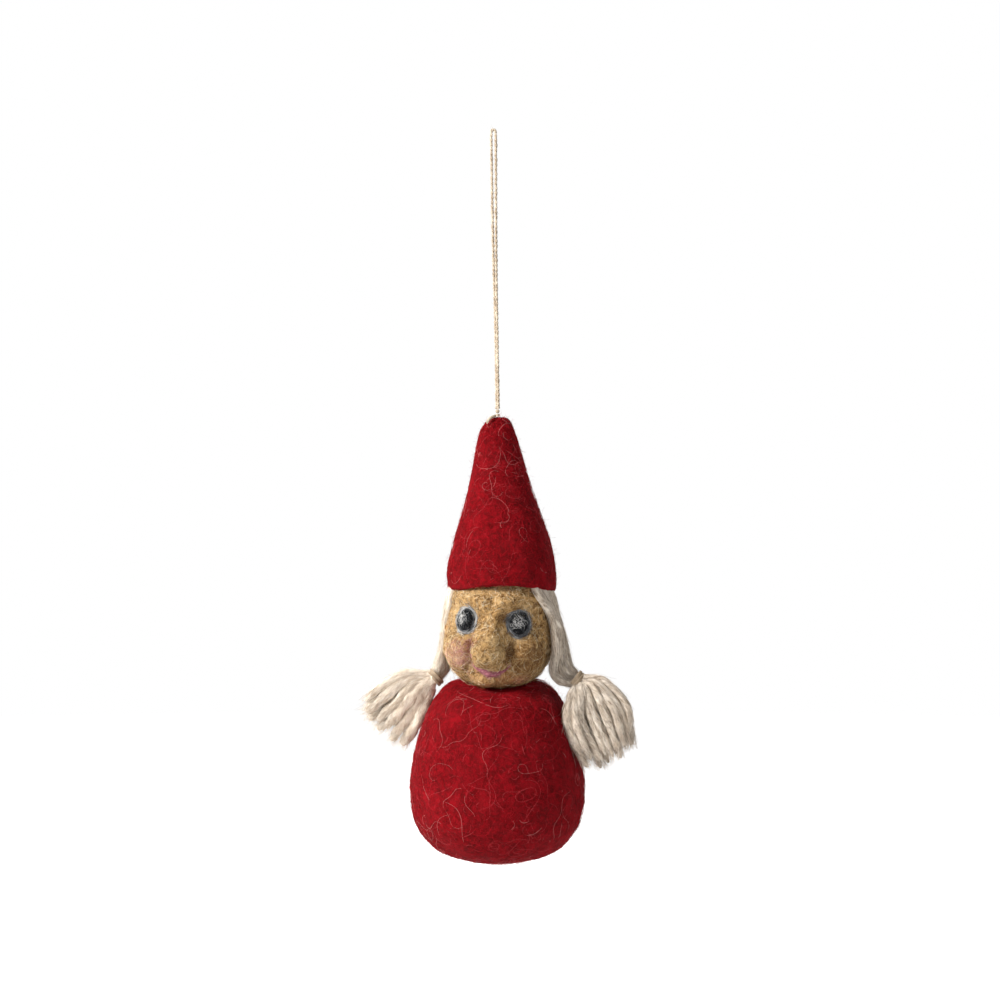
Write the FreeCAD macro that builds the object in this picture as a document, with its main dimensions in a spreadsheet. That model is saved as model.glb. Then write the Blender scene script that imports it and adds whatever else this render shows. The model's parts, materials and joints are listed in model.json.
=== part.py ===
"""Hanging tomte ornament of felted wool: an egg-shaped body, a ball head with a needle-felted
face, a tall pointed hat, two yarn pigtails and a loop of twine that carries it by the hat's tip.

The origin is the point of the twine loop that rests on a hook or twig. +Z is up, the face looks
along -Y and +X is on the right of somebody who looks at the face. All sizes are millimetres.
"""
import FreeCAD, Part
import math
import os
import re
import Sketcher

V = FreeCAD.Vector
Placement = FreeCAD.Placement
Rotation = FreeCAD.Rotation

doc = FreeCAD.newDocument("tomte_ornament")

# ---------------------------------------------------------------- driving dimensions
DIMENSIONS = {
    # twine loop
    "cord_diameter": 0.7,
    "loop_width": 1.4,
    "strand_spacing": 0.74,
    "hook_to_tip": 77.9,
    "loop_lean": 1.15,
    "pivot_lift": 1.85,
    "neck_radius": 0.55,
    "joint_gap": 0.15,
    # whole figure
    "figure_height": 120.0,
    "axis_setback": -0.84,
    # egg-shaped body
    "body_radius": 23.65,
    "body_wall": 5.0,
    # ball head, measured up from the chin
    "head_radius": 14.9,
    "head_middle": 13.9,
    "head_crown": 26.4,
    "chin_height": 46.9,
    "head_wall": 4.0,
    "head_forward": -1.8,
    "head_side": 0.2,
    "head_turn": -7.5,
    "head_roll": 4.7,
    # face
    "inlay_depth": 1.2,
    "inlay_rise": 0.4,
    "nose_radius": 5.0,
    "eye_radius": 3.9,
    "pupil_radius": 2.85,
    "glint_radius": 1.25,
    "eye_spread": 31.2,
    "cheek_radius": 4.3,
    "cheek_spread": 41.0,
    "mouth_width": 9.7,
    "mouth_sag": 2.8,
    "lip_height": 1.2,
    # hat, measured up from its rim
    "hat_length": 46.7,
    "hat_radius": 14.4,
    "hat_waist": 12.1,
    "hat_waist_height": 16.3,
    "hat_tip_radius": 4.4,
    "felt_thickness": 2.4,
    "rim_height": 73.4,
    "rim_forward": -2.4,
    "rim_side": 1.2,
    "hat_tilt": -4.0,
    "hat_lean": -1.5,
    # knot that holds the twine inside the hat
    "knot_radius": 1.7,
    "knot_depth": 6.0,
    # pigtails
    "lock_radius": 2.35,
    "tie_thread": 0.45,
    "ball_radius": 2.5,
    "tassel_length": 19.4,
    "tassel_half_width": 7.4,
    "tassel_half_depth": 2.6,
    "crown_arch": 9.0,
    "crown_thickness": 1.9,
    "crown_height": 2.0,
    "tie_back": 3.6,
    # heights of the face's features from the head's middle
    "eye_height": 3.9,
    "cheek_drop": 4.8,
}

sheet = doc.addObject("Spreadsheet::Sheet", "Dimensions")
for row, (alias, size) in enumerate(DIMENSIONS.items(), start=1):
    sheet.set("A%d" % row, alias.replace("_", " "))
    sheet.set("B%d" % row, repr(size))
    sheet.setAlias("B%d" % row, alias)
doc.recompute()


def value(expression):
    """Value of an expression written in the sheet's aliases."""
    return float(sheet.evalExpression(expression))


def linked(expression):
    """The same expression as another object of the document has to write it."""
    return re.sub(r"[a-z_]+", lambda word: "Dimensions." + word.group(), expression)


def bind(obj, **properties):
    """Drive properties of an object from the sheet."""
    for name, expression in properties.items():
        obj.setExpression(name, linked(expression))


# ---------------------------------------------------------------- places in the ornament
FLOOR = -value("hook_to_tip + figure_height")
AXIS_X = value("loop_lean")
AXIS_Y = value("axis_setback")
UP = V(0, 0, 1)
PIVOT = V(AXIS_X, 0, value("pivot_lift - hook_to_tip"))

EGG = Placement(V(AXIS_X, AXIS_Y, FLOOR), Rotation())

HEAD_TURN = Rotation(V(0, 1, 0), value("head_roll")) * Rotation(UP, value("head_turn"))
HEAD_CENTRE = V(AXIS_X + value("head_side"), AXIS_Y + value("head_forward"),
                FLOOR + value("chin_height + head_middle"))
HEAD = Placement(HEAD_CENTRE - HEAD_TURN.multVec(V(0, 0, value("head_middle"))), HEAD_TURN)

HAT_TURN = Rotation(V(0, 1, 0), value("hat_lean")) * Rotation(V(1, 0, 0), value("hat_tilt"))
HAT = Placement(V(AXIS_X + value("rim_side"), AXIS_Y + value("rim_forward"),
                  FLOOR + value("rim_height")), HAT_TURN)


# ---------------------------------------------------------------- building blocks
def origin_plane(body, role):
    for feature in body.Origin.OriginFeatures:
        if feature.Role == role:
            return feature
    raise ValueError("no plane " + role)


def new_body(name, placement):
    body = doc.addObject("PartDesign::Body", name)
    body.Placement = placement
    return body


def new_sketch(body, name, role="XZ_Plane"):
    sketch = body.newObject("Sketcher::SketchObject", name)
    sketch.AttachmentSupport = (origin_plane(body, role), [""])
    sketch.MapMode = "FlatFace"
    return sketch


def pin_point(sketch, edge, end, x, y):
    """Hold one end of an edge at the place that two sheet expressions give."""
    for kind, expression, axis in (("DistanceX", x, -2), ("DistanceY", y, -1)):
        distance = value(expression)
        if abs(distance) < 1e-6:
            sketch.addConstraint(Sketcher.Constraint("PointOnObject", edge, end, axis))
            continue
        number = sketch.addConstraint(Sketcher.Constraint(kind, -1, 1, edge, end, distance))
        sketch.setExpression("Constraints[%d]" % number, linked(expression))


def outline(sketch, start, heading, steps):
    """Draw a chain of edges; return its first and last edge ends and the place it reaches.

    start is a pair of expressions and heading the first direction in degrees. Each step is "arc",
    which leaves tangent to the edge before it, or "line", with the expressions of its far end.
    """
    here = V(value(start[0]), value(start[1]), 0)
    direction = Rotation(UP, heading).multVec(V(1, 0, 0))
    previous = None
    for kind, target in steps:
        there = V(value(target[0]), value(target[1]), 0)
        chord = there - here
        if kind == "line":
            edge = sketch.addGeometry(Part.LineSegment(here, there), False)
            near, far = 1, 2
            direction = V(chord).normalize()
        else:
            side = V(-direction.y, direction.x, 0)
            radius = chord.Length ** 2 / (2 * chord.dot(side))
            centre = here + side * radius
            half_turn = math.degrees(chord.getAngle(direction)) * (1 if radius > 0 else -1)
            middle = centre + Rotation(UP, half_turn).multVec(here - centre)
            edge = sketch.addGeometry(Part.Arc(here, middle, there), False)
            near, far = (1, 2) if radius > 0 else (2, 1)
            direction = Rotation(UP, 2 * half_turn).multVec(direction)
        if previous is None:
            first = (edge, near)
            pin_point(sketch, edge, near, *start)
            if kind == "arc":
                sketch.addConstraint(Sketcher.Constraint("Radius", edge, abs(radius)))
        else:
            join = "Tangent" if kind == "arc" else "Coincident"
            sketch.addConstraint(Sketcher.Constraint(join, *previous, edge, near))
        pin_point(sketch, edge, far, *target)
        previous = (edge, far)
        here = there
    return first, previous, here


def turned(name, placement, start, heading, steps):
    """Solid of revolution about its own Z axis, from a half outline that ends on the axis."""
    body = new_body(name, placement)
    sketch = new_sketch(body, name + "_outline")
    first, last, top = outline(sketch, start, heading, steps)
    foot = V(0, value(start[1]), 0)
    axis = sketch.addGeometry(Part.LineSegment(top, foot), False)
    sketch.addConstraint(Sketcher.Constraint("Coincident", *last, axis, 1))
    closing = axis
    if value(start[0]) > 0:
        sketch.addConstraint(Sketcher.Constraint("PointOnObject", axis, 2, -2))
        rim = V(value(start[0]), foot.y, 0)
        closing = sketch.addGeometry(Part.LineSegment(foot, rim), False)
        sketch.addConstraint(Sketcher.Constraint("Coincident", axis, 2, closing, 1))
        sketch.addConstraint(Sketcher.Constraint("Horizontal", closing))
    sketch.addConstraint(Sketcher.Constraint("Coincident", closing, 2, *first))
    turning = body.newObject("PartDesign::Revolution", name + "_turning")
    turning.Profile = (sketch, [""])
    turning.ReferenceAxis = (sketch, ["V_Axis"])
    turning.Angle = 360.0
    sketch.Visibility = False
    return body


def ellipsoid(name, placement, across, along, high):
    """Ellipsoid whose half axes are sheet expressions."""
    shape = doc.addObject("Part::Ellipsoid", name)
    bind(shape, Radius1=high, Radius2=across, Radius3=along)
    shape.Angle1 = -90.0
    shape.Placement = placement
    return shape


def sphere(name, centre, radius):
    shape = doc.addObject("Part::Sphere", name)
    bind(shape, Radius=radius)
    shape.Placement = Placement(centre, Rotation())
    return shape


def cylinder(name, placement, radius, height):
    shape = doc.addObject("Part::Cylinder", name)
    bind(shape, Radius=radius, Height=height)
    shape.Placement = placement
    return shape


def fuse(name, *shapes):
    joined = doc.addObject("Part::MultiFuse", name)
    joined.Shapes = list(shapes)
    return joined


def cut(name, base, *tools):
    """Base without the tools."""
    result = doc.addObject("Part::Cut", name)
    result.Base = base
    result.Tool = tools[0] if len(tools) == 1 else fuse(name + "_tools", *tools)
    return result


def common(name, first, second):
    result = doc.addObject("Part::Common", name)
    result.Base = first
    result.Tool = second
    return result


nodes = {}


def piece(label, shape):
    """Keep a shape as a sub-part of the ornament under its own label."""
    shape.Label = label
    nodes[label] = shape
    return shape


# ---------------------------------------------------------------- forms that pieces share
def egg(name, wall):
    """The body's egg, or the same egg drawn in by a wall."""
    return turned(name, EGG, ("0", wall), 0, [
        ("line", ("body_radius * 0.2", wall)),
        ("arc", ("body_radius * 0.57 - %s" % wall, "body_radius * 0.093 + %s" % wall)),
        ("arc", ("body_radius * 0.90 - %s" % wall, "body_radius * 0.376 + %s" % wall)),
        ("arc", ("body_radius - %s" % wall, "body_radius * 0.87")),
        ("arc", ("body_radius * 0.837 - %s" % wall, "body_radius * 1.594")),
        ("arc", ("body_radius * 0.575 - %s" % wall, "body_radius * 1.958 - %s / 2" % wall)),
        ("arc", ("body_radius * 0.12", "body_radius * 2.15 - %s" % wall)),
        ("line", ("0", "body_radius * 2.15 - %s" % wall)),
    ])


def ball(name, inset):
    """The head's ball above the chin, drawn in by an inset."""
    top = "head_crown + head_radius * 0.4 - %s" % inset
    return turned(name, HEAD, ("0", inset), 0, [
        ("line", ("head_radius * 0.12", inset)),
        ("arc", ("head_radius - %s" % inset, "head_middle")),
        ("arc", ("head_radius * 0.75 - %s" % inset, "head_crown")),
        ("arc", ("head_radius * 0.12", top)),
        ("line", ("0", top)),
    ])


def cone(name, inset, tip_inset):
    """The hat's pointed cone above its rim, drawn in by an inset."""
    top = "hat_length - %s" % tip_inset
    return turned(name, HAT, ("hat_radius - %s" % inset, "0"), 90, [
        ("arc", ("hat_waist - %s" % inset, "hat_waist_height")),
        ("line", ("hat_tip_radius * 0.955 - %s" % inset,
                  "hat_length - hat_tip_radius * 0.8 - %s" % tip_inset)),
        ("arc", ("hat_tip_radius * 0.2", top)),
        ("line", ("0", top)),
    ])


body_form = egg("body_form", "0")
body_hollow = egg("body_hollow", "body_wall")
head_form = ball("head_form", "0")
head_hollow = ball("head_hollow", "head_wall")
hat_form = cone("hat_form", "0", "0")
hat_hollow = cone("hat_hollow", "felt_thickness", "felt_thickness * 1.1")


# ---------------------------------------------------------------- head and face
def on_head(around, height, outward):
    """Frame at the head: -Y points out of it, turned around from the face, height over the chin."""
    spot = Placement(V(0, 0, height), Rotation(UP, around))
    return HEAD.multiply(spot).multiply(Placement(V(0, -outward, 0), Rotation()))


OUTWARD = Placement(V(), Rotation(V(1, 0, 0), 90))
EYE_HEIGHT = value("head_middle + eye_height")
CHEEK_HEIGHT = value("head_middle - cheek_drop")
SIDES = {"left": -1, "right": 1}

face_outside = ball("face_outside", "(0 - inlay_rise)")
face_inside = ball("face_inside", "inlay_depth")
face_layer = cut("face_layer", face_outside, face_inside)

nose_bulb = ellipsoid("nose_bulb", on_head(-1.0, 10.3, 14.6),
                      "nose_radius", "nose_radius", "nose_radius * 0.96")
nose_bridge = ellipsoid("nose_bridge", on_head(0.5, 16.2, 12.8),
                        "nose_radius * 0.44", "nose_radius * 0.6", "nose_radius * 1.1")
nose = piece("nose", fuse("nose_form", cut("nose_bulb_cut", nose_bulb, head_form),
                          cut("nose_bridge_cut", nose_bridge, head_form)))

mouth_body = new_body("mouth_body", HEAD)
mouth_sketch = new_sketch(mouth_body, "mouth_outline")
MOUTH_X, MOUTH_Z = -0.6, 5.9
corners = [V(MOUTH_X + side * value("mouth_width") / 2, MOUTH_Z, 0) for side in (-1, 1)]
for lip in ("mouth_sag", "mouth_sag - lip_height"):
    lowest = V(MOUTH_X, MOUTH_Z - value(lip), 0)
    curve = mouth_sketch.addGeometry(Part.Arc(corners[0], lowest, corners[1]), False)
    for end, corner in ((1, corners[0]), (2, corners[1])):
        mouth_sketch.addConstraint(Sketcher.Constraint("DistanceX", -1, 1, curve, end, corner.x))
        mouth_sketch.addConstraint(Sketcher.Constraint("DistanceY", -1, 1, curve, end, corner.y))
    half = "(mouth_width / 2)"
    bend = "(%s * %s + (%s) * (%s)) / (2 * (%s))" % (half, half, lip, lip, lip)
    bow = mouth_sketch.addConstraint(Sketcher.Constraint("Radius", curve, value(bend)))
    mouth_sketch.setExpression("Constraints[%d]" % bow, linked(bend))
mouth_pad = mouth_body.newObject("PartDesign::Pad", "mouth_pad")
mouth_pad.Profile = (mouth_sketch, [""])
bind(mouth_pad, Length="head_radius * 1.3")
mouth_sketch.Visibility = False
mouth = piece("mouth", common("mouth_layer", mouth_body, face_layer))

chin_form = ellipsoid("chin_form", on_head(-12.0, 1.9, 9.6),
                      "nose_radius * 0.9", "nose_radius * 0.8", "nose_radius * 0.34")
chin_pad = piece("chin_pad", cut("chin_cut", chin_form, head_form, mouth))

inlays = [mouth]
for side, sign in SIDES.items():
    around = sign * value("eye_spread")
    axis = on_head(around, EYE_HEIGHT, 0).multiply(OUTWARD)
    plugs = {}
    for part, radius in (("ring", "eye_radius"), ("pupil", "pupil_radius"),
                         ("glint", "glint_radius")):
        rod = cylinder("%s_%s_rod" % (side, part), axis, radius, "head_radius * 1.3")
        plugs[part] = common("%s_%s_plug" % (side, part), rod, face_layer)
    piece(side + "_eye_ring", cut(side + "_ring_cut", plugs["ring"], plugs["pupil"]))
    piece(side + "_eye_pupil", cut(side + "_pupil_cut", plugs["pupil"], plugs["glint"]))
    piece(side + "_eye_glint", plugs["glint"])
    inlays.append(plugs["ring"])

    spot = on_head(sign * value("cheek_spread"), CHEEK_HEIGHT, 12.3)
    cheek_form = ellipsoid(side + "_cheek_form", spot,
                           "cheek_radius", "cheek_radius * 0.86", "cheek_radius")
    piece(side + "_cheek", cut(side + "_cheek_cut", cheek_form, head_form))
    flush_form = ellipsoid(side + "_flush_form", spot, "cheek_radius + inlay_rise",
                           "cheek_radius * 0.86 + inlay_rise", "cheek_radius + inlay_rise")
    flush_skin = cut(side + "_flush_skin", flush_form, cheek_form, head_form)
    flush_rod = cylinder(side + "_flush_rod", spot.multiply(OUTWARD),
                         "cheek_radius * 0.62", "head_radius")
    piece(side + "_blush", common(side + "_flush", flush_skin, flush_rod))

# ---------------------------------------------------------------- hat, knot and hair
knot_spot = HAT.multiply(Placement(V(0, 0, value("hat_length - knot_depth")), Rotation()))
knot_form = fuse("knot_form",
                 sphere("knot_ball", knot_spot.Base, "knot_radius"),
                 cylinder("knot_stem", knot_spot, "cord_diameter * 0.86",
                          "knot_depth + joint_gap"))
piece("cord_knot", knot_form)

hat = piece("hat", cut("hat_wall", hat_form, hat_hollow, knot_form))

crown_torus = doc.addObject("Part::Torus", "crown_torus")
bind(crown_torus, Radius1="crown_arch", Radius2="crown_thickness")
crown_torus.Angle3 = 180.0
crown_torus.Placement = HAT.multiply(Placement(V(0, 0, value("crown_height")),
                                                Rotation(V(1, 0, 0), 90)))
crown = piece("hair_crown", cut("crown_cut", crown_torus, head_form))


def lock_pipe(name, depth, start, heading, steps):
    """Bundle of yarn swept down its path, at one depth from the figure's axis."""
    body = new_body(name, Placement(V(AXIS_X, AXIS_Y + depth, FLOOR), Rotation()))
    path = new_sketch(body, name + "_path")
    outline(path, start, heading, steps)
    section = new_sketch(body, name + "_section", "XY_Plane")
    section.AttachmentOffset = Placement(V(value(start[0]), 0, value(start[1])), Rotation())
    ring = section.addGeometry(Part.Circle(V(), UP, value("lock_radius")), False)
    section.addConstraint(Sketcher.Constraint("Coincident", ring, 3, -1, 1))
    girth = section.addConstraint(Sketcher.Constraint("Radius", ring, value("lock_radius")))
    section.setExpression("Constraints[%d]" % girth, linked("lock_radius"))
    pipe = body.newObject("PartDesign::AdditivePipe", name + "_sweep")
    pipe.Profile = (section, [""])
    pipe.Spine = (path, [""])
    path.Visibility = False
    section.Visibility = False
    return body


PIGTAILS = {
    "left": {
        "depth": 2.0, "start": ("0 - 11.5", "75"), "heading": -106.7, "fan": -139.0,
        "steps": [("line", ("0 - 15.4", "62")), ("arc", ("0 - 15.6", "54")),
                  ("arc", ("0 - 16.3", "51.4")), ("line", ("0 - 18.9", "48.2"))],
    },
    "right": {
        "depth": -6.0, "start": ("13.4", "75"), "heading": -76.0, "fan": -60.0,
        "steps": [("line", ("16.6", "62")), ("arc", ("17.7", "55")),
                  ("arc", ("19.4", "51.6")), ("line", ("23.0", "48.2"))],
    },
}
locks = []
for side, tail in PIGTAILS.items():
    pipe = lock_pipe(side + "_lock_pipe", tail["depth"], tail["start"], tail["heading"],
                     tail["steps"])
    (x_before, z_before), (x_end, z_end) = [tuple(map(value, step[1]))
                                            for step in tail["steps"][-2:]]
    joint = V(AXIS_X + x_end, AXIS_Y + tail["depth"], FLOOR + z_end)
    along = V(x_end - x_before, 0, z_end - z_before).normalize()
    print("%s pigtail turns about %.2f %.2f %.2f" % (side, *joint))
    cup = sphere(side + "_cup", joint, "ball_radius + 2 * joint_gap")
    lock = piece("hair_lock_" + side,
                 cut(side + "_lock_cut", pipe, head_form, hat, crown, cup))

    tie_torus = doc.addObject("Part::Torus", side + "_tie_torus")
    bind(tie_torus, Radius1="lock_radius + tie_thread * 0.6", Radius2="tie_thread")
    tie_torus.Placement = Placement(joint - along * value("tie_back"), Rotation(UP, along))
    piece(side + "_tie", cut(side + "_tie_cut", tie_torus, pipe))

    fan = Placement(joint, Rotation(V(0, 1, 0), 90 - tail["fan"]))
    sections = []
    for number, (reach, wide, deep) in enumerate((
            ("ball_radius * 0.3", "ball_radius * 0.8", "ball_radius * 0.78"),
            ("tassel_length * 0.4", "tassel_half_width * 0.62", "tassel_half_depth"),
            ("tassel_length", "tassel_half_width", "tassel_half_depth"))):
        oval = doc.addObject("Part::Ellipse", "%s_oval_%d" % (side, number))
        bind(oval, MajorRadius=wide, MinorRadius=deep)
        oval.Placement = fan.multiply(Placement(V(0, 0, value(reach)), Rotation()))
        sections.append(oval)
    spread = doc.addObject("Part::Loft", side + "_spread")
    spread.Sections = sections
    spread.Solid = True
    piece(side + "_tassel",
          fuse(side + "_tassel_form", spread, sphere(side + "_ball", joint, "ball_radius")))
    locks.append(lock)

piece("hat_stuffing", cut("stuffing_cut", hat_hollow, head_form, crown, knot_form, *locks))

# ---------------------------------------------------------------- head and body wool
piece("head_core", head_hollow)
piece("head_skin", cut("head_cut", head_form, head_hollow, *inlays))
piece("body_core", body_hollow)
piece("body_skin", cut("body_cut", body_form, body_hollow, head_form, chin_pad))

# ---------------------------------------------------------------- twine loop
STRAND = value("cord_diameter") / 2
SPREAD = value("loop_width") / 2
GATHER = value("strand_spacing") / 2
LOOP_FOOT = PIVOT.z + value("neck_radius + joint_gap")
route = [V(AXIS_X - GATHER, 0, LOOP_FOOT), V(-SPREAD, 0, STRAND),
         V(SPREAD, 0, STRAND), V(AXIS_X + GATHER, 0, LOOP_FOOT)]


def rounded_route(points):
    """Straight runs joined by tangent arcs, each as large as its two runs allow."""
    edges = []
    here = points[0]
    for before, corner, after in zip(points, points[1:], points[2:]):
        arriving, leaving = corner - before, after - corner
        half_turn = arriving.getAngle(leaving) / 2
        shorter = min(arriving.Length, leaving.Length)
        radius = 0.45 * shorter / math.tan(half_turn)
        arriving.normalize()
        leaving.normalize()
        entry = corner - arriving * 0.45 * shorter
        exit_point = corner + leaving * 0.45 * shorter
        inward = (leaving - arriving).normalize()
        centre = corner + inward * (radius / math.cos(half_turn))
        edges.append(Part.LineSegment(here, entry).toShape())
        edges.append(Part.Arc(entry, centre - inward * radius, exit_point).toShape())
        here = exit_point
        print("bend of the loop: radius %.3f mm" % radius)
    edges.append(Part.LineSegment(here, points[-1]).toShape())
    return Part.Wire(edges)


path = rounded_route(route)
start_circle = Part.Wire([Part.Circle(route[0], route[1] - route[0], STRAND).toShape()])
cord = doc.addObject("Part::Feature", "twine_loop")
cord.Shape = path.makePipeShell([start_circle], True, False)
expected = math.pi * STRAND ** 2 * path.Length
print("loop length %.2f mm, volume %.4f of %.4f mm3" % (path.Length, cord.Shape.Volume, expected))
piece("hanging_cord", cord)

piece("cord_neck", sphere("neck_ball", PIVOT, "neck_radius"))
piece("cord_stub", cylinder("stub_rod",
                            Placement(V(PIVOT.x, 0, -value("hook_to_tip - 3 * joint_gap")),
                                      Rotation()),
                            "neck_radius", "pivot_lift - neck_radius - 4 * joint_gap"))

# ---------------------------------------------------------------- check and write
doc.recompute()
for item in doc.Objects:
    if "Invalid" in item.State or "Error" in item.State:
        raise ValueError("%s failed: %s" % (item.Name, item.State))
for label, item in nodes.items():
    if item.Shape.isNull() or not item.Shape.isValid():
        raise ValueError(label + " has no valid shape")

os.makedirs("parts", exist_ok=True)
for label, item in nodes.items():
    item.Shape.exportStep("parts/%s.step" % label)
    print("%-18s %8.2f mm3 in %d solid(s)" % (label, item.Shape.Volume, len(item.Shape.Solids)))
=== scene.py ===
import json
import math
import bpy
import numpy as np
from mathutils import Matrix, Vector, noise
from mathutils.bvhtree import BVHTree


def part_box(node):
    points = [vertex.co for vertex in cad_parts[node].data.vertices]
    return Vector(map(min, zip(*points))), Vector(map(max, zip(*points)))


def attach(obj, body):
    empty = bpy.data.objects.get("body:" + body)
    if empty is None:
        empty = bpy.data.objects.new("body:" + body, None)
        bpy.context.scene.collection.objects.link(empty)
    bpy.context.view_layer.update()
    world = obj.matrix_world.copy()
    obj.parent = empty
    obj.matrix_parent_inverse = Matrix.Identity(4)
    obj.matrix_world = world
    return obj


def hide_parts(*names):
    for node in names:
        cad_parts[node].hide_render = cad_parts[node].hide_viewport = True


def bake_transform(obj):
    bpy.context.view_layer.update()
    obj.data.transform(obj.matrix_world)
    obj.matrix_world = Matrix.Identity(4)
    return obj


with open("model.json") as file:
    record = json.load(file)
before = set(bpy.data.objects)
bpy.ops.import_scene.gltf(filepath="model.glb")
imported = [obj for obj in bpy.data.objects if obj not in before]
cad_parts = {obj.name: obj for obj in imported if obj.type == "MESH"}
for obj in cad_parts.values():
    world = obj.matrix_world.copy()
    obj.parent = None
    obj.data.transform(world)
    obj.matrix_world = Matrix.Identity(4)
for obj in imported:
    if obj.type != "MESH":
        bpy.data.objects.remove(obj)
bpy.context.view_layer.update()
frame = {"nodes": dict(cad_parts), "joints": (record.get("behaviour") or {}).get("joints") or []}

# Lengths below are millimetres, in the figure's own frame: x and y from the egg's axis and z up
# from its bottom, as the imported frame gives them. MM turns them into metres.
MM = 0.001
rng = np.random.default_rng(11)

egg_low, egg_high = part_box("body_skin")
FOOT = np.array([(egg_low.x + egg_high.x) / 2, (egg_low.y + egg_high.y) / 2, egg_low.z])
JOINTS = {joint["name"]: np.array(joint["pos_m"]) for joint in frame["joints"]}
PIVOT = JOINTS["spin"]


def place(points):
    """Figure millimetres to metres in the row frame."""
    return FOOT + np.asarray(points, float) * MM


def turn(axis, degrees):
    return np.array(Matrix.Rotation(math.radians(degrees), 3, axis))


# ---------------------------------------------------------------- camera, lights and world
HOOK_TO_VIEW = Vector((0.0018, 0.0, -0.1001))
VIEW_WIDTH = 0.271
LENS, SENSOR = 85.0, 36.0
camera_data = bpy.data.cameras.new("camera")
camera_data.lens = LENS
camera_data.sensor_width = SENSOR
camera_data.clip_start = 0.01
camera = bpy.data.objects.new("camera", camera_data)
camera.location = HOOK_TO_VIEW + Vector((0, -VIEW_WIDTH * LENS / SENSOR, 0))
camera.rotation_euler = (math.radians(90), 0, 0)
bpy.context.scene.collection.objects.link(camera)
bpy.context.scene.camera = camera
bpy.context.scene.view_settings.view_transform = "Standard"

TARGET = Vector((0, 0, -0.13))


def soft_light(name, where, size, watts, colour):
    data = bpy.data.lights.new(name, "AREA")
    data.size = size
    data.energy = watts
    data.color = colour
    lamp = bpy.data.objects.new(name, data)
    lamp.location = where
    lamp.rotation_euler = (TARGET - Vector(where)).to_track_quat("-Z", "Y").to_euler()
    bpy.context.scene.collection.objects.link(lamp)


soft_light("key", (-0.70, -0.41, 0.33), 0.24, 14.4, (1.0, 0.985, 0.965))
soft_light("fill", (0.80, -0.45, -0.05), 0.6, 1.9, (0.95, 0.97, 1.0))
soft_light("back", (0.2, 0.8, 0.4), 0.5, 2.5, (1.0, 1.0, 1.0))


def studio_world():
    world = bpy.data.worlds.new("studio")
    bpy.context.scene.world = world
    world.use_nodes = True
    tree = world.node_tree
    tree.nodes.clear()
    out = tree.nodes.new("ShaderNodeOutputWorld")
    mix = tree.nodes.new("ShaderNodeMixShader")
    path = tree.nodes.new("ShaderNodeLightPath")
    lit = tree.nodes.new("ShaderNodeBackground")
    lit.inputs["Color"].default_value = (1.0, 0.99, 0.975, 1)
    lit.inputs["Strength"].default_value = 0.30
    seen = tree.nodes.new("ShaderNodeBackground")
    seen.inputs["Color"].default_value = (1, 1, 1, 1)
    tree.links.new(path.outputs["Is Camera Ray"], mix.inputs[0])
    tree.links.new(lit.outputs[0], mix.inputs[1])
    tree.links.new(seen.outputs[0], mix.inputs[2])
    tree.links.new(mix.outputs[0], out.inputs[0])


studio_world()


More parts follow.
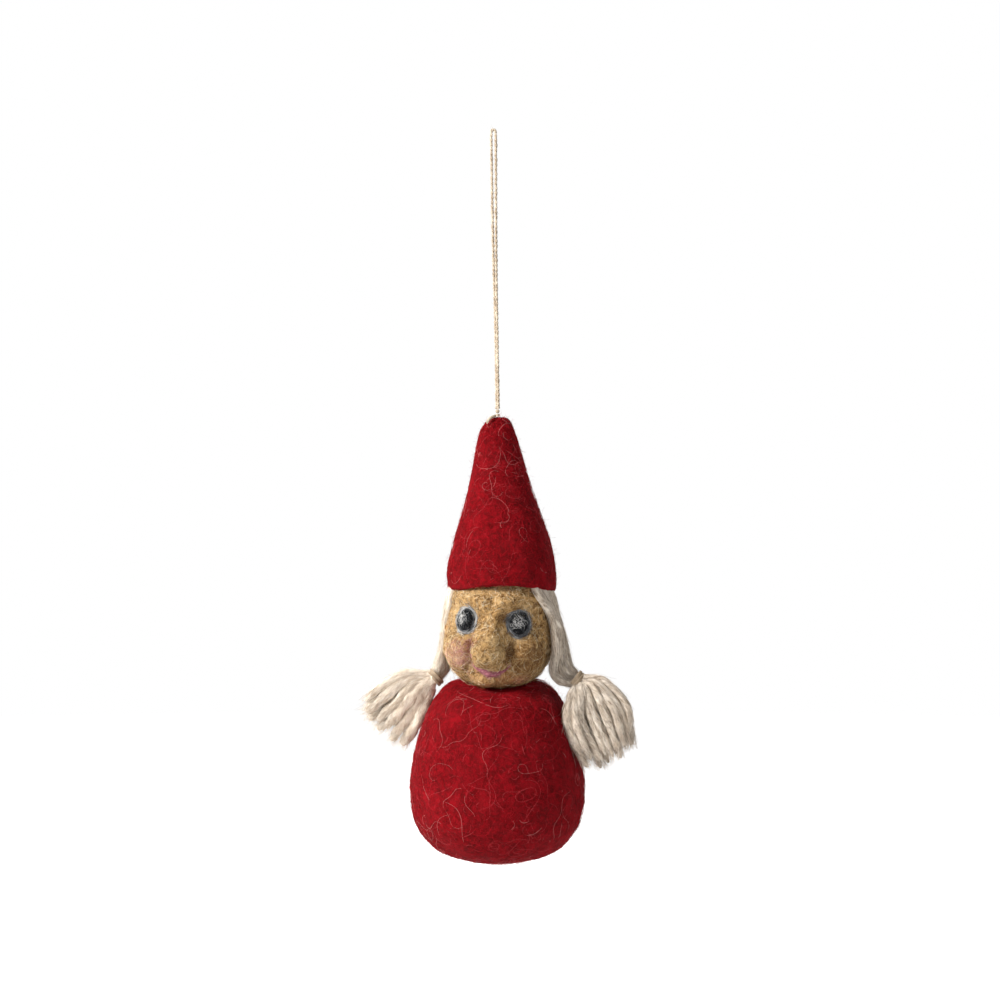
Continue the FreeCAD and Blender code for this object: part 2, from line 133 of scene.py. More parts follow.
# ---------------------------------------------------------------- material nodes
class Nodes:
    """Short calls for building one material's node tree. Coordinates are in millimetres."""

    def __init__(self, name):
        self.material = bpy.data.materials.new(name)
        self.material.use_nodes = True
        self.tree = self.material.node_tree
        self.shader = self.tree.nodes["Principled BSDF"]
        where = self.tree.nodes.new("ShaderNodeTexCoord")
        self.here = self.vector("SCALE", where.outputs["Object"], scale=1000.0)
        self.uv = where.outputs["UV"]

    def put(self, socket, value):
        """Joins a socket to another one, or sets it to a number, a vector or a colour."""
        if isinstance(value, bpy.types.NodeSocket):
            self.tree.links.new(value, socket)
        elif value is not None:
            socket.default_value = (*value, 1.0) if socket.type == "RGBA" else value

    def vector(self, operation, first, second=None, scale=None):
        node = self.tree.nodes.new("ShaderNodeVectorMath")
        node.operation = operation
        self.put(node.inputs[0], first)
        self.put(node.inputs[1], second)
        if scale is not None:
            node.inputs["Scale"].default_value = scale
        return node.outputs["Value" if operation == "DISTANCE" else "Vector"]

    def math(self, operation, first, second=None):
        node = self.tree.nodes.new("ShaderNodeMath")
        node.operation = operation
        self.put(node.inputs[0], first)
        self.put(node.inputs[1], second)
        return node.outputs[0]

    def noise(self, scale, detail=3.0, roughness=0.55, distortion=0.0, at=None):
        node = self.tree.nodes.new("ShaderNodeTexNoise")
        self.put(node.inputs["Vector"], self.here if at is None else at)
        node.inputs["Scale"].default_value = scale
        node.inputs["Detail"].default_value = detail
        node.inputs["Roughness"].default_value = roughness
        node.inputs["Distortion"].default_value = distortion
        return node.outputs["Fac"]

    def ramp(self, value, low, high, start=0.0, end=1.0):
        node = self.tree.nodes.new("ShaderNodeMapRange")
        node.interpolation_type = "SMOOTHSTEP"
        for name, number in (("From Min", low), ("From Max", high),
                             ("To Min", start), ("To Max", end)):
            node.inputs[name].default_value = number
        self.put(node.inputs["Value"], value)
        return node.outputs[0]

    def mix(self, share, first, second, how="MIX"):
        node = self.tree.nodes.new("ShaderNodeMix")
        node.data_type = "RGBA"
        node.blend_type = how
        self.put(node.inputs["Factor"], share)
        self.put(node.inputs[6], first)
        self.put(node.inputs[7], second)
        return node.outputs[2]

    def strands(self, scale, rows, width, twist=1.2, seed=0.0):
        """Thin winding lines, like loose fibres: contour lines of a smooth noise."""
        shifted = self.vector("ADD", self.here, (seed, seed * 0.7, -seed))
        field = self.noise(scale, 1.0, 0.4, twist, at=shifted)
        steps = self.math("FRACT", self.math("MULTIPLY", field, rows))
        away = self.math("ABSOLUTE", self.math("SUBTRACT", steps, 0.5))
        return self.ramp(away, 0.0, width, 1.0, 0.0)

    def finish(self, colour, height, depth, strength, sheen, tint):
        shader = self.shader
        self.put(shader.inputs["Base Color"], colour)
        bump = self.tree.nodes.new("ShaderNodeBump")
        bump.inputs["Strength"].default_value = strength
        bump.inputs["Distance"].default_value = depth * MM
        self.put(bump.inputs["Height"], height)
        self.put(shader.inputs["Normal"], bump.outputs[0])
        shader.inputs["Roughness"].default_value = 0.95
        shader.inputs["Specular IOR Level"].default_value = 0.12
        shader.inputs["Sheen Weight"].default_value = sheen
        shader.inputs["Sheen Roughness"].default_value = 0.5
        self.put(shader.inputs["Sheen Tint"], tint)
        return self.material


def felt(name, deep, middle, light, fibre, cover, stains_and_shade=()):
    """Matted wool: cloudy colour, winding lighter fibres and tinted spots, with the deep tone
    laid in as painted shade where the bump is low, in the gaps between clumps and in the pits.
    """
    n = Nodes(name)
    cloud = n.noise(0.22, 3.0, 0.6)
    clump = n.noise(0.95, 5.0, 0.68, 0.8)
    grain = n.noise(4.2, 3.0, 0.6, 0.4)
    # partly random tone, partly painted shade: the clumps' low parts, which the bump also sinks,
    # take the deep tone
    colour = n.mix(n.ramp(clump, 0.36, 0.62), deep, middle)
    colour = n.mix(n.math("MULTIPLY", n.ramp(cloud, 0.45, 0.72), 0.55), colour, light)
    # tinted spots: blush and other real tints, and painted shade in hollows and on the side away
    # from the key light
    for centre, reach, tint, share in stains_and_shade:
        away = n.vector("DISTANCE", n.here, tuple(place(centre) / MM))
        spot_mask = n.ramp(n.math("ADD", away, n.math("MULTIPLY", clump, 3.0)),
                       reach * 0.45 + 1.5, reach + 1.5, share, 0.0)
        colour = n.mix(spot_mask, colour, tint)
    # painted shade: the deep tone again in the pits of the grain, where the bump is low
    painted_pit_shade = n.ramp(grain, 0.30, 0.50, 0.55, 0.0)
    colour = n.mix(painted_pit_shade, colour, deep)
    long_ones = n.strands(0.16, 9.0, 0.055, 1.6)
    short_ones = n.strands(0.42, 7.0, 0.085, 2.2, 31.0)
    patches = n.ramp(n.noise(0.5, 2.0), 0.40, 0.62)
    lines = n.math("MAXIMUM", n.math("MULTIPLY", long_ones, 0.8),
                   n.math("MULTIPLY", short_ones, patches))
    colour = n.mix(n.math("MULTIPLY", lines, cover), colour, fibre)
    height = n.math("ADD", n.math("MULTIPLY", clump, 0.9), n.math("MULTIPLY", grain, 0.35))
    height = n.math("ADD", height, n.math("MULTIPLY", lines, 0.28))
    return n.finish(colour, height, 0.5, 1.0, 0.10, light)


def yarn(name, gap_shade, middle, light, sheen=0.3):
    """Softly spun wool: streaks along each strand, darker where the fibres part, which is painted
    shade laid where the bump is low.
    """
    n = Nodes(name)
    along = n.vector("MULTIPLY", n.uv, (1.0, 0.045, 1.0))
    streak = n.noise(9.0, 4.0, 0.7, 0.25, at=along)
    fine = n.noise(34.0, 2.0, 0.6, 0.1, at=along)
    cloud = n.noise(0.35, 2.0)
    colour = n.mix(n.ramp(streak, 0.33, 0.60), gap_shade, middle)
    colour = n.mix(n.math("MULTIPLY", n.ramp(cloud, 0.4, 0.7), 0.6), colour, light)
    colour = n.mix(n.ramp(fine, 0.52, 0.70, 0.0, 0.55), colour, light)
    height = n.math("ADD", n.math("MULTIPLY", streak, 0.8), n.math("MULTIPLY", fine, 0.4))
    return n.finish(colour, height, 0.25, 0.9, sheen, light)


def shades(name, *colours):
    """Materials for the fibres of one kind of wool, whose several shades lie side by side."""
    made = []
    for number, colour in enumerate(colours):
        material = bpy.data.materials.new("%s_fibre_%d" % (name, number))
        material.use_nodes = True
        shader = material.node_tree.nodes["Principled BSDF"]
        shader.inputs["Base Color"].default_value = (*colour, 1.0)
        shader.inputs["Roughness"].default_value = 0.9
        shader.inputs["Specular IOR Level"].default_value = 0.1
        made.append(material)
    return made


RED_FIBRES = shades("red", (0.16, 0.001, 0.003), (0.33, 0.003, 0.007), (0.46, 0.010, 0.018),
                    (0.55, 0.07, 0.08), (0.66, 0.24, 0.23))
TAN_FIBRES = shades("tan", (0.60, 0.39, 0.17), (0.85, 0.65, 0.37), (0.98, 0.86, 0.62),
                    (0.20, 0.095, 0.030))
ROSE_FIBRES = shades("rose", (0.56, 0.22, 0.26), (0.70, 0.38, 0.40), (0.36, 0.08, 0.12))
GREY_FIBRES = shades("grey", (0.21, 0.215, 0.225), (0.74, 0.73, 0.71), (0.07, 0.072, 0.08))
WHITE_FIBRES = shades("white", (0.80, 0.79, 0.77), (0.55, 0.54, 0.53))
BLACK_FIBRES = shades("black", (0.006, 0.006, 0.008), (0.022, 0.024, 0.028),
                      (0.17, 0.18, 0.19))
CREAM_FIBRES = shades("cream", (0.88, 0.79, 0.67), (0.95, 0.90, 0.81), (0.56, 0.45, 0.34))
# the right pigtail's fibres: darker copies of the cream ones, painted shade
SHADED_CREAM_FIBRES = shades("cream_shaded", (0.70, 0.60, 0.49), (0.90, 0.83, 0.74), (0.28, 0.21, 0.155))
TWINE_FIBRES = shades("twine", (0.66, 0.56, 0.44), (0.42, 0.33, 0.24))

CRIMSON = felt("crimson_felt", (0.11, 0.001, 0.002), (0.235, 0.001, 0.005),
               (0.34, 0.003, 0.009), (0.50, 0.028, 0.040), 0.30)
SKIN_TONES = ((0.12, 0.052, 0.015), (0.58, 0.35, 0.14), (0.78, 0.54, 0.27),
              (0.94, 0.77, 0.52))


# ---------------------------------------------------------------- mesh building
def piece(name, points, faces, materials, body=None, chosen=None, uvs=None):
    """A mesh object from points in metres; chosen holds each face's material."""
    mesh = bpy.data.meshes.new(name)
    mesh.from_pydata(points.tolist(), [], faces)
    for material in materials:
        mesh.materials.append(material)
    if chosen is not None:
        mesh.polygons.foreach_set("material_index", chosen.astype(np.int32))
    if uvs is not None:
        layer = mesh.uv_layers.new(name="UVMap")
        corners = np.zeros(len(mesh.loops), np.int32)
        mesh.loops.foreach_get("vertex_index", corners)
        layer.data.foreach_set("uv", np.asarray(uvs, float)[corners].ravel())
    mesh.polygons.foreach_set("use_smooth", np.full(len(mesh.polygons), True))
    mesh.update()
    made = bpy.data.objects.new(name, mesh)
    bpy.context.scene.collection.objects.link(made)
    if body:
        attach(made, body)
    return made


def grid_faces(rows, columns, closed=True):
    """Quads of a grid of points whose columns close into a ring."""
    down, across = np.meshgrid(np.arange(rows - 1), np.arange(columns if closed else columns - 1),
                               indexing="ij")
    beside = (across + 1) % columns
    corners = (down * columns + across, down * columns + beside,
               (down + 1) * columns + beside, (down + 1) * columns + across)
    return np.stack([corner.ravel() for corner in corners], axis=1)


def unit(vectors):
    return vectors / np.maximum(np.linalg.norm(vectors, axis=-1, keepdims=True), 1e-12)


def directions(path):
    """Unit vectors along a path, and two across it that are square to each other."""
    tangent = unit(np.gradient(path, axis=0))
    across = unit(np.cross(tangent, [0.0, 1.0, 0.0]))
    return tangent, across, np.cross(tangent, across)


def lumps(points, layers):
    """Sum of noise layers at points in millimetres; a layer is its size and its height."""
    total = np.zeros(len(points))
    for size, height in layers:
        shift = Vector((7.3 * size, -3.1, 11.7))
        total += height * np.array([noise.noise(Vector(p) / size + shift) for p in points])
    return total


def smooth_outline(corners, count):
    """Evenly spaced points on a Catmull-Rom curve through the corners of an outline."""
    corners = np.asarray(corners, float)
    padded = np.vstack([2 * corners[0] - corners[1], corners, 2 * corners[-1] - corners[-2]])
    curve = []
    for a, b, c, d in zip(padded, padded[1:], padded[2:], padded[3:]):
        for t in np.linspace(0, 1, 24, endpoint=False):
            curve.append(0.5 * (2 * b + (c - a) * t + (2 * a - 5 * b + 4 * c - d) * t * t
                                + (3 * b - a - 3 * c + d) * t ** 3))
    curve.append(corners[-1])
    curve = np.array(curve)
    walked = np.concatenate([[0], np.cumsum(np.linalg.norm(np.diff(curve, axis=0), axis=1))])
    wanted = np.linspace(0, walked[-1], count)
    return np.stack([np.interp(wanted, walked, curve[:, i]) for i in range(curve.shape[1])], 1)


class Turned:
    """A surface of revolution in figure millimetres, with its own frame, lumps and dents."""

    def __init__(self, outline, rows, columns, centre, rotation, layers, shape=None):
        self.line = smooth_outline(outline, rows)
        self.columns = columns
        self.centre = np.asarray(centre, float)
        self.rotation = rotation
        self.layers = layers
        self.shape = shape or (lambda around, height, radius: (radius, height, 0.0))

    def at(self, around, row):
        """Smooth surface points for angles from the front and fractional outline rows."""
        rows = np.arange(len(self.line))
        radius = np.interp(row, rows, self.line[:, 0])
        height = np.interp(row, rows, self.line[:, 1])
        radius, height, sideways = self.shape(around, height, radius)
        local = np.stack([radius * np.sin(around) + sideways, -radius * np.cos(around), height],
                         axis=-1)
        return local @ self.rotation.T + self.centre

    def normal(self, around, row):
        step = 0.01
        across = self.at(around + step, row) - self.at(around - step, row)
        along = self.at(around, row + step * 20) - self.at(around, row - step * 20)
        return unit(np.cross(across, along))

    def build(self, name, material):
        """The lumpy surface as a piece, closed at both ends of its outline."""
        around, row = np.meshgrid(np.linspace(0, 2 * math.pi, self.columns, endpoint=False),
                                  np.arange(1, len(self.line) - 1), indexing="xy")
        around, row = around.ravel(), row.ravel().astype(float)
        points = self.at(around, row)
        points += self.normal(around, row) * lumps(points, self.layers)[:, None]
        ends = self.at(np.zeros(2), np.array([0.0, len(self.line) - 1.0]))
        ring = np.arange(self.columns)
        beside = (ring + 1) % self.columns
        count = len(points)
        faces = grid_faces(len(self.line) - 2, self.columns).tolist()
        last = count - self.columns
        faces += [[count, b, a] for a, b in zip(ring, beside)]
        faces += [[count + 1, last + a, last + b] for a, b in zip(ring, beside)]
        return piece(name, place(np.vstack([points, ends])), faces, [material], "figure")


FIBRE_SIDES = 3
FIBRE_TIP = 0.35   # a fibre's radius at its ends, as a share of its middle's


def tubes(paths, radii):
    """Points and faces of closed thin tubes along paths of shape (tubes, points, 3)."""
    sides = FIBRE_SIDES
    paths = np.asarray(paths, float)
    number, steps, _ = paths.shape
    tangent = unit(np.gradient(paths, axis=1))
    guide = np.where(np.abs(tangent[:, :1, 2:3]) > 0.8, [[[1.0, 0, 0]]], [[[0, 0, 1.0]]])
    across = unit(np.cross(tangent, guide))
    other = np.cross(tangent, across)
    taper = FIBRE_TIP + (1 - FIBRE_TIP) * np.sin(np.linspace(0.12, math.pi - 0.12, steps)) ** 0.5
    radius = np.asarray(radii, float).reshape(-1, 1, 1) * taper.reshape(1, -1, 1)
    rings = [paths + radius * (math.cos(a) * across + math.sin(a) * other)
             for a in np.linspace(0, 2 * math.pi, sides, endpoint=False)]
    points = np.stack(rings, axis=2).reshape(-1, 3)
    one = grid_faces(steps, sides)
    faces = (one[None] + (np.arange(number) * steps * sides)[:, None, None]).reshape(-1, 4)
    starts = np.arange(number) * steps * sides
    ends = starts + (steps - 1) * sides
    caps = [list(s + np.arange(sides)) for s in starts]
    caps += [list(e + np.arange(sides)[::-1]) for e in ends]
    return points, faces.tolist() + [[int(v) for v in cap] for cap in caps], one.shape[0]


def fibres(name, paths, radii, materials, weights, body="figure"):
    """Many thin fibres as one piece, each between two radii and in one of several shades."""
    number = len(paths)
    points, faces, per_tube = tubes(paths, rng.uniform(*radii, number))
    shade = rng.choice(len(materials), number, p=weights)
    chosen = np.concatenate([np.repeat(shade, per_tube), shade, shade])
    return piece(name, place(points), faces, materials, body, chosen)


def curls(surface, number, steps, length, lift, curl, rows):
    """Paths of loose fibres that wander in smooth curves over a turned surface."""
    low, high = rows
    around = rng.uniform(0, 2 * math.pi, number)
    row = rng.uniform(low, high, number)
    heading = rng.uniform(0, 2 * math.pi, number)
    bend = rng.normal(0, curl, number) * rng.choice((0.5, 1.0, 2.2), number, p=(0.4, 0.4, 0.2))
    sway, pace = rng.uniform(0.3, 1.4, number) * curl, rng.uniform(0.3, 1.1, number)
    stride = length * rng.uniform(0.4, 1.4, number) / steps
    spacing = np.linalg.norm(np.diff(surface.line, axis=0), axis=1).mean()
    raised = lift * rng.uniform(0.3, 1.7, number)
    phase = rng.uniform(0, 2 * math.pi, number)
    paths = []
    for step in range(steps):
        radius = np.interp(row, np.arange(len(surface.line)), surface.line[:, 0])
        rise = raised * (0.5 + 0.5 * np.sin(phase + 5.0 * step / (steps - 1))) + 0.04
        paths.append(surface.at(around, row) + surface.normal(around, row) * rise[:, None])
        around = around + stride * np.cos(heading) / np.maximum(radius, 2.0)
        row = np.clip(row + stride * np.sin(heading) / spacing, low, high)
        heading = heading + (bend + sway * np.sin(phase + pace * stride * step)) * stride
    return np.stack(paths, axis=1)


def fuzz(surface, number, steps, length, rows):
    """Paths of short hairs that stand off a turned surface."""
    low, high = rows
    around = rng.uniform(0, 2 * math.pi, number)
    row = rng.uniform(low, high, number)
    start = surface.at(around, row)
    out = surface.normal(around, row)
    slant = unit(rng.normal(0, 1, (number, 3)))
    droop = unit(rng.normal(0, 1, (number, 3)))
    size = length * rng.uniform(0.3, 1.4, number)[:, None]
    paths = []
    for share in np.linspace(0, 1, steps):
        path = start + size * share * (0.55 * out + 0.8 * slant) + size * share ** 2 * 0.6 * droop
        paths.append(path - 0.12 * out)
    return np.stack(paths, axis=1)


FELT_LAYERS = [(11.0, 0.34), (4.2, 0.22), (1.7, 0.13), (0.75, 0.07)]
# shares of the red shades, dark to pale, in the matted fibres and in the hairs that stand off
MAT_WEIGHTS = (0.30, 0.40, 0.26, 0.035, 0.005)
FUZZ_WEIGHTS = (0.15, 0.50, 0.30, 0.04, 0.01)

# ---------------------------------------------------------------- egg-shaped body
egg_outline = [(0, 0.0), (4.0, 0.15), (7.8, 0.7), (13.5, 2.2), (17.6, 4.5), (21.3, 8.9),
               (23.1, 14.0), (23.6, 20.6), (23.1, 26.0), (22.2, 30.9), (20.2, 37.4),
               (18.0, 42.4), (15.4, 46.3), (12.4, 48.5), (8.5, 49.4), (4.0, 49.3), (0.0, 49.2)]


def egg_shape(around, height, radius):
    """The dome is pressed down in front, where the chin rests."""
    front = np.clip(np.cos(around), 0, 1) ** 1.5
    return radius, height - 2.4 * front * np.clip((height - 43.5) / 5.0, 0, 1), 0.0


body = Turned(egg_outline, 170, 380, (0, 0, 0), np.eye(3), FELT_LAYERS, egg_shape)
body_piece = body.build("body_felt", CRIMSON)
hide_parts("body_skin")
fibres("body_curls", curls(body, 520, 40, 15.0, 0.30, 0.34, (6, 152)), (0.018, 0.032),
       RED_FIBRES, (0.0, 0.08, 0.30, 0.40, 0.22))
fibres("body_mat", curls(body, 6200, 6, 3.3, 0.13, 0.38, (3, 158)), (0.022, 0.046), RED_FIBRES,
       MAT_WEIGHTS)
fibres("body_fuzz", fuzz(body, 4200, 5, 1.1, (4, 155)), (0.012, 0.022), RED_FIBRES,
       FUZZ_WEIGHTS)

# ---------------------------------------------------------------- pointed hat
RIM = np.array([1.2, -2.4, 73.4])
HAT_TURN = turn("Y", -1.5) @ turn("X", -4.0)
HAT_LENGTH = 46.7


def hat_shape(around, height, radius):
    """The front of the rim arches up, the cone wanders a little and its tip leans to +X."""
    front = np.clip(np.cos(around), 0, 1) ** 2
    near_rim = np.exp(-np.clip(height, 0, None) / 5.0)
    lifted = height + (0.75 * front + 0.18 * np.sin(3 * around + 0.8)
                       - 0.38 * np.sin(around)) * near_rim
    wander = 0.28 * np.sin((height - 6) / 9.0) * np.clip(height / 10.0, 0, 1)
    tip = 0.75 * np.clip((height - (HAT_LENGTH - 5.0)) / 5.0, 0, 1) ** 2
    return radius, lifted, wander + tip


hat_outline = [(0.0, 9.5), (6.0, 9.3), (11.2, 7.5), (11.9, 4.0), (12.1, 1.2), (12.5, 0.15),
               (13.3, -0.1), (14.1, 0.1), (14.5, 1.0), (14.65, 3.3), (14.45, 6.6), (13.85, 9.8),
               (13.0, 13.1), (12.1, 16.3), (9.95, 22.8), (8.05, 29.3), (6.5, 35.8), (5.6, 39.6),
               (4.75, 42.6), (3.7, 45.0), (2.0, 46.5), (0.0, 46.8)]
hat = Turned(hat_outline, 210, 250, RIM, HAT_TURN, [(8.0, 0.26), (3.6, 0.18), (1.6, 0.12),
                                                  (0.75, 0.06)], hat_shape)
hat_piece = hat.build("hat_felt", CRIMSON)
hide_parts("hat", "hat_stuffing")
# the outline's lowest row outside the opening, where the felt's outer face starts
rim_row = int(np.argmin(hat.line[:, 1] + 100 * (hat.line[:, 0] < 13)))
fibres("hat_curls", curls(hat, 230, 34, 11.0, 0.26, 0.34, (rim_row + 2, 200)), (0.018, 0.030),
       RED_FIBRES, (0.0, 0.10, 0.32, 0.38, 0.20))
fibres("hat_mat", curls(hat, 4800, 6, 2.8, 0.12, 0.38, (rim_row - 8, 206)), (0.020, 0.040),
       RED_FIBRES, MAT_WEIGHTS)
fibres("hat_fuzz", fuzz(hat, 2400, 5, 1.0, (rim_row - 6, 207)), (0.012, 0.020), RED_FIBRES,
       FUZZ_WEIGHTS)

# ---------------------------------------------------------------- ball head
CHIN_TO_MIDDLE = 13.9
HEAD_GIRTH = 14.2   # radius that turns a width on the face into an angle around the head
HEAD_BELL = 14.0    # radius that a dent's or a swelling's width is measured at
EDGE_SINK = 0.35    # how deep the edge of a felted pad lies in the wool under it
PAD_BACK = 0.5      # thickness of a pad, a pupil or the mouth
HEAD_MIDDLE = np.array([0.2, -1.8, 60.8])
HEAD_TURN = turn("Y", 4.7) @ turn("Z", -7.5)
HEAD_FOOT = HEAD_MIDDLE - HEAD_TURN @ np.array([0, 0, CHIN_TO_MIDDLE])
EYE_WIDE, EYE_HIGH = 3.6, 3.7
# angle around the head in degrees, from its front to +X, and height over the chin
EYES = {"left": (-33.5, 18.3), "right": (30.0, 18.5)}
CHEEKS = {"left": (-43.0, 9.6), "right": (44.0, 9.7)}


def near(around, height, spot, wide, high):
    """Bell around a spot on the head: an angle in degrees and a height over the chin."""
    across = np.sin(around - math.radians(spot[0])) * HEAD_BELL
    facing = np.cos(around - math.radians(spot[0])) > 0
    return np.exp(-(across / wide) ** 2 - ((height - spot[1]) / high) ** 2) * facing


# spot, half width, half height and rise of each dent and swelling of the face
RELIEF = (
    (EYES["left"], 4.8, 4.4, -1.5), (EYES["right"], 4.8, 4.3, -1.7),
    ((-26, 24.4), 7.0, 1.8, 1.0), ((25, 24.4), 7.5, 1.8, 1.4), ((-11, 22.6), 2.0, 2.4, 0.7),
    ((10, 22.8), 2.4, 2.4, 1.0), ((-1, 24.0), 1.2, 2.0, -0.9), ((13, 19.6), 2.4, 2.6, -1.5),
    ((-14, 19.6), 2.0, 2.2, -0.7), ((22, 11.5), 1.9, 4.8, -2.0), ((-23, 11.0), 1.6, 4.4, -1.5),
    ((-2, 1.8), 6.5, 2.4, 1.5), ((-46, 4.2), 6.0, 3.6, 0.8), ((46, 4.2), 6.0, 3.6, 0.9),
    ((1, 5.6), 6.0, 1.2, -0.5), ((-2, 3.0), 6.0, 0.9, 0.35),
)


def head_shape(around, height, radius):
    """Eye hollows, brow, jaw and the crease around the nose, as dents and swellings."""
    swell = 0.0
    for spot, wide, high, rise in RELIEF:
        swell = swell + rise * near(around, height, spot, wide, high)
    return radius + swell, height, 0.0


head_outline = [(0, 0.0), (3.2, 0.15), (6.6, 1.2), (9.9, 3.0), (12.6, 6.0), (14.3, 9.6),
                (14.9, 13.9), (14.8, 18.0), (14.2, 22.2), (13.2, 26.2), (10.8, 29.8),
                (6.0, 32.0), (0, 32.6)]
head = Turned(head_outline, 150, 300, HEAD_FOOT, HEAD_TURN,
              [(6.5, 0.30), (2.8, 0.24), (1.3, 0.16), (0.6, 0.09)], head_shape)


def on_head(around, height):
    """Smooth point and outward normal of the head at an angle in degrees and a height."""
    around = np.atleast_1d(np.radians(around)).astype(float)
    height = np.broadcast_to(np.asarray(height, float), around.shape)
    front_half = head.line[:, 1]
    row = np.interp(height, front_half, np.arange(len(front_half)))
    return head.at(around, row), head.normal(around, row)


def in_figure(spot, out):
    """Figure millimetres of a spot on the head, raised off its surface."""
    point, normal = on_head(*spot)
    return (point + out * normal)[0]


PINK, ROSE = (0.66, 0.34, 0.28), (0.42, 0.13, 0.12)
PAINTED_SHADE, RUST = (0.14, 0.06, 0.02), (0.38, 0.15, 0.06)
# The umber spots are painted shade: in the crease right of the nose, in both inner eye corners,
# under the right brow and over the right cheek, away from the key light. The rose and pink spots
# are blush; the rust spots make the chin, the lower right of the face and the left side darker
# and more orange.
SKIN = felt("skin_felt", *SKIN_TONES, 0.42,
            stains_and_shade=[(in_figure((-25, 11.6), 0.2), 2.2, ROSE, 0.50),
                    (in_figure((-28, 8.6), 0.2), 3.4, PINK, 0.30),
                    (in_figure((-52, 8.0), 1.0), 5.0, PINK, 0.25),
                    (in_figure((21, 11.0), 0.0), 2.6, PAINTED_SHADE, 0.70),
                    (in_figure((13, 20.0), 0.0), 2.4, PAINTED_SHADE, 0.60),
                    (in_figure((25, 22.6), 0.0), 2.2, PAINTED_SHADE, 0.35),
                    (in_figure((-14, 19.4), 0.0), 1.8, PAINTED_SHADE, 0.35),
                    (in_figure((46, 9.0), 1.4), 7.5, PAINTED_SHADE, 0.68),
                    (in_figure((-38, 9.5), 1.2), 4.6, PINK, 0.30),
                    (in_figure((-9, 1.5), 0.6), 5.0, RUST, 0.50),
                    (in_figure((24, 2.2), 0.6), 6.0, RUST, 0.65),
                    (in_figure((-72, 16.0), 0.0), 6.0, RUST, 0.35),
                    (in_figure((50, 3.2), 0.4), 4.0, ROSE, 0.40)])
NOSE_SKIN = felt("nose_felt", (0.12, 0.052, 0.015), (0.52, 0.32, 0.13),
                 (0.68, 0.47, 0.23), (0.90, 0.72, 0.47), 0.42)
EYE_GREY = felt("eye_grey", (0.04, 0.04, 0.045), (0.13, 0.133, 0.14), (0.20, 0.205, 0.215),
                (0.60, 0.60, 0.62), 0.5)
EYE_BLACK = felt("eye_black", (0.004, 0.004, 0.005), (0.012, 0.012, 0.014),
                 (0.03, 0.03, 0.034), (0.28, 0.28, 0.30), 0.16)
EYE_WHITE = felt("eye_white", (0.34, 0.33, 0.33), (0.66, 0.65, 0.64),
                 (0.80, 0.79, 0.78), (0.92, 0.92, 0.92), 0.4)
MOUTH_PINK = felt("mouth_wool", (0.20, 0.05, 0.07), (0.46, 0.17, 0.21),
                  (0.60, 0.28, 0.32), (0.74, 0.46, 0.48), 0.35)

head_piece = head.build("head_felt", SKIN)
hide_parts("head_skin")


def backed(point, normal, faces, border):
    """A sheet of points and faces, made solid by a back and by sides along its border."""
    count = len(point)
    faces = faces + [[corner + count for corner in face[::-1]] for face in faces]
    faces += [[a, b, b + count, a + count] for a, b in zip(border, border[1:] + border[:1])]
    return np.vstack([point, point - normal * PAD_BACK]), faces


def patch(name, spot, wide, high, rise, material, layers, flat=2.2, rings=34, spokes=88,
          ragged=0.05):
    """A pad of wool felted onto the head, highest in its middle and sunk in at its edge."""
    share = (np.arange(1, rings + 1) / rings)[:, None] * np.ones((1, spokes))
    angle = np.ones((rings, 1)) * np.linspace(0, 2 * math.pi, spokes, endpoint=False)[None]
    wobble = 1 + ragged * np.sin(3 * angle + spot[0]) + ragged * 0.7 * np.sin(7 * angle + spot[1])
    across = np.append((wide * share * wobble * np.cos(angle)).ravel(), 0.0)
    upward = np.append((high * share * wobble * np.sin(angle)).ravel(), 0.0)
    share = np.append(share.ravel(), 0.0)
    point, normal = on_head(spot[0] + np.degrees(across / HEAD_GIRTH), spot[1] + upward)
    lift = -EDGE_SINK + (rise + EDGE_SINK) * (1 - share ** flat)
    rough = lumps(point, layers) * (1 - share ** 6)
    point = point + normal * (lift + rough)[:, None]
    faces = grid_faces(rings, spokes)[:, ::-1].tolist()
    middle = rings * spokes
    ring = np.arange(spokes)
    faces += [[middle, int(a), int((a + 1) % spokes)] for a in ring]
    points, faces = backed(point, normal, faces, list(range(middle - spokes, middle)))
    return piece(name, place(points), faces, [material], "figure")


FACE_LAYERS = [(3.0, 0.24), (1.3, 0.18), (0.6, 0.10)]
GLINTS = {"left": (-36.5, 18.7), "right": (29.2, 18.9)}
cheeks, eyes = [], []
for side in ("left", "right"):
    cheek = patch(side + "_cheek_felt", CHEEKS[side], 5.4, 5.6, 1.9, SKIN,
                  FACE_LAYERS)
    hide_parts(side + "_cheek", side + "_blush")
    grey = 3.75 if side == "right" else 3.55
    ring = patch(side + "_eye_ring_felt", EYES[side], grey, 3.75, 0.95, EYE_GREY,
                 [(1.2, 0.12), (0.5, 0.08)], flat=4.0, ragged=0.03)
    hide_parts(side + "_eye_ring")
    disc = patch(side + "_pupil_felt", EYES[side], 3.10, 3.30, 1.25, EYE_BLACK,
                 [(1.2, 0.10), (0.5, 0.06)], flat=5.0, ragged=0.03)
    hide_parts(side + "_eye_pupil")
    glint = patch(side + "_glint_felt", GLINTS[side], 0.62, 1.00, 1.36, EYE_WHITE,
                  [(0.6, 0.16)], flat=3.0, rings=16, spokes=40, ragged=0.22)
    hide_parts(side + "_eye_glint")
    cheeks.append(cheek)
    eyes += [ring, disc, glint]
chin = patch("chin_felt", (-9.0, 2.3), 5.2, 1.9, 1.0, SKIN, FACE_LAYERS)
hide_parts("chin_pad")


